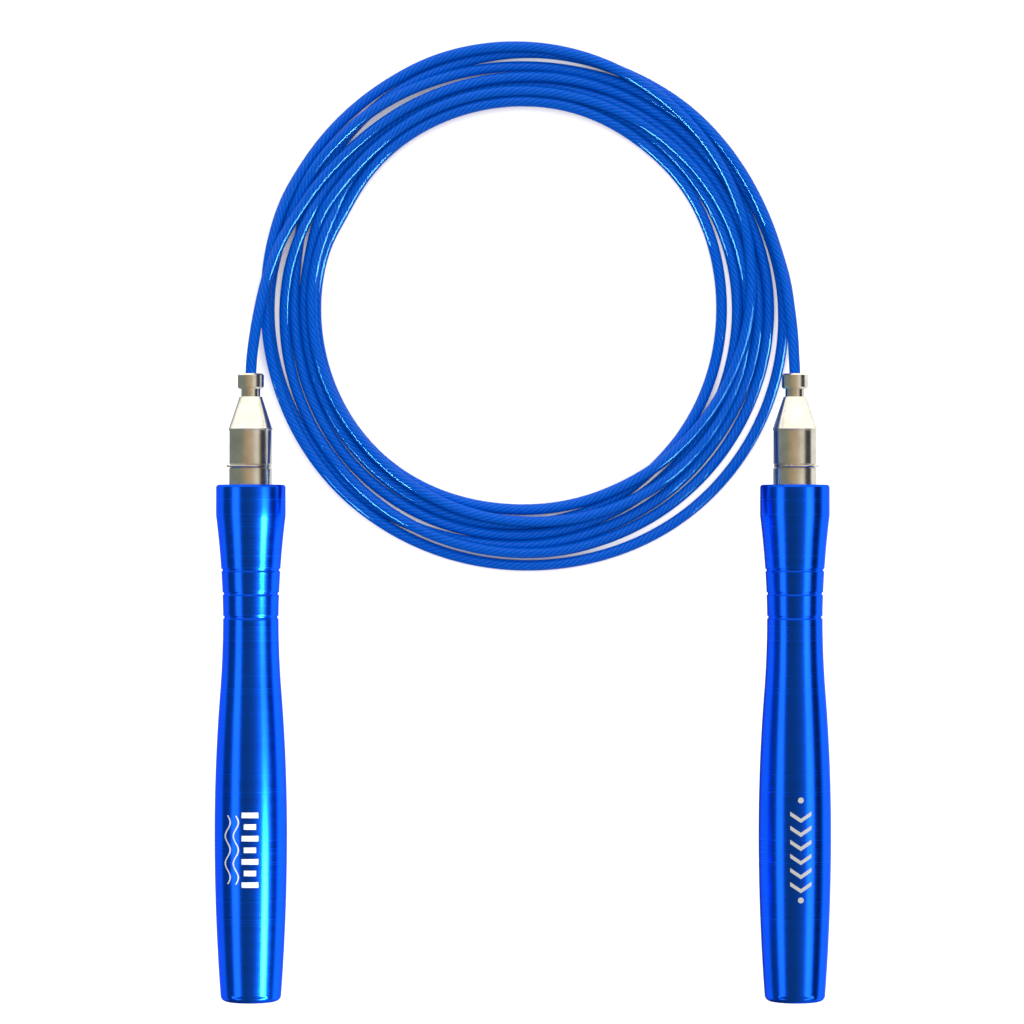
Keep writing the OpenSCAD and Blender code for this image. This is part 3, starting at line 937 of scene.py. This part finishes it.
def make_sky():
    """A soft room that is dim and warm overhead, brighter to the right and dark low on the
    right, and bright beyond the far end of the handles."""
    sky = bpy.data.worlds.new("studio")
    sky.use_nodes = True
    tree = sky.node_tree

    def ramp(fac, *stops):
        made = tree.nodes.new("ShaderNodeValToRGB")
        while len(made.color_ramp.elements) < len(stops):
            made.color_ramp.elements.new(0.5)
        for element, (place, colour) in zip(made.color_ramp.elements, stops):
            element.position, element.color = place, (*colour, 1)
        tree.links.new(fac, made.inputs["Fac"])
        return made.outputs["Color"]

    def half(value):
        made = tree.nodes.new("ShaderNodeMath")
        made.operation = "MULTIPLY_ADD"
        made.inputs[1].default_value, made.inputs[2].default_value = 0.5, 0.5
        tree.links.new(value, made.inputs[0])
        return made.outputs[0]

    def mix(factor, a, b):
        made = tree.nodes.new("ShaderNodeMix")
        made.data_type = "RGBA"
        tree.links.new(factor, made.inputs["Factor"])
        ends = [socket for socket in made.inputs if socket.type == "RGBA"]
        for socket, value in zip(ends, (a, b)):
            if isinstance(value, tuple):
                socket.default_value = (*value, 1)
            else:
                tree.links.new(value, socket)
        return [socket for socket in made.outputs if socket.type == "RGBA"][0]

    way = tree.nodes.new("ShaderNodeTexCoord").outputs["Generated"]
    parts = tree.nodes.new("ShaderNodeSeparateXYZ")
    tree.links.new(way, parts.inputs[0])
    above = ramp(
        half(parts.outputs["X"]),
        (0.0, (0.20, 0.23, 0.20)), (0.1, (0.20, 0.22, 0.18)), (0.25, (0.33, 0.27, 0.17)),
        (0.45, (0.45, 0.34, 0.21)), (0.6, (0.50, 0.42, 0.30)), (0.8, (0.78, 0.72, 0.60)),
        (0.87, (0.60, 0.56, 0.48)), (0.92, (0.03, 0.03, 0.04)), (0.97, (0.03, 0.03, 0.04)),
    )
    below = ramp(half(parts.outputs["X"]), (0.45, (0.20, 0.23, 0.21)), (0.55, (0.9, 0.9, 0.85)))
    level = ramp(half(parts.outputs["Z"]), (0.45, (0, 0, 0)), (0.5, (1, 1, 1)))
    beyond = ramp(half(parts.outputs["Y"]), (0.62, (0, 0, 0)), (0.74, (1, 1, 1)))
    room = mix(beyond, mix(level, below, above), (1.42, 1.38, 1.24))
    background = tree.nodes["Background"]
    tree.links.new(room, background.inputs["Color"])
    background.inputs["Strength"].default_value = 1.0
    bpy.context.scene.world = sky


NICKEL_PARTS = ("collar", "washer", "gripper", "carrier", "button")
CYAN = (0.2, 0.75, 1.0)


def make_lights(floor):
    """The nickel is lit by the room alone, and the grips and the cable by their own lights."""
    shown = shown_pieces()
    nickel = [o for o in shown if any(part in o.name for part in NICKEL_PARTS)]
    blue = {s: [o for o in shown if o.name.startswith(s) and o not in nickel] for s in SIDES}
    ground = collection_of("ground", [floor])
    rope = collection_of("rope_lit", [cable])
    left_grip = collection_of("left_grip_lit", blue["left"])
    grips = collection_of("grips", blue["left"] + blue["right"])

    make_sky()
    softbox(
        "floor_light", 0, 0.05, (2.4, 2.4), 3.2, distance=2.0, lights=ground, glossy=False,
        bounces=8, blockers=rope,
    )
    softbox("rope_light", 0, 0.05, (0.9, 0.9), 9, distance=2.0, lights=rope, glossy=False)
    softbox("strip_left", -50, -0.35, (0.5, 1.3), 2.2, lights=grips)
    softbox("strip_right", 50, -0.35, (0.5, 1.3), 2.8, lights=grips)
    softbox("strip_bright", 47, -0.58, (0.3, 0.83), 60, lights=left_grip)
    softbox("under_left", -125, -0.1, (1.2, 1.6), 0.95, lights=grips)
    softbox("under_right", 125, -0.1, (1.2, 1.6), 0.95, lights=grips)
    for name, bearing in (("low_right", -26), ("low_left", -144)):
        softbox(
            name, 72, 0.12, (0.95, 0.7), 95, CYAN, lights=rope, bearing=bearing, diffuse=False,
        )


make_lights(make_floor())
bpy.context.scene.view_settings.view_transform = "Standard"
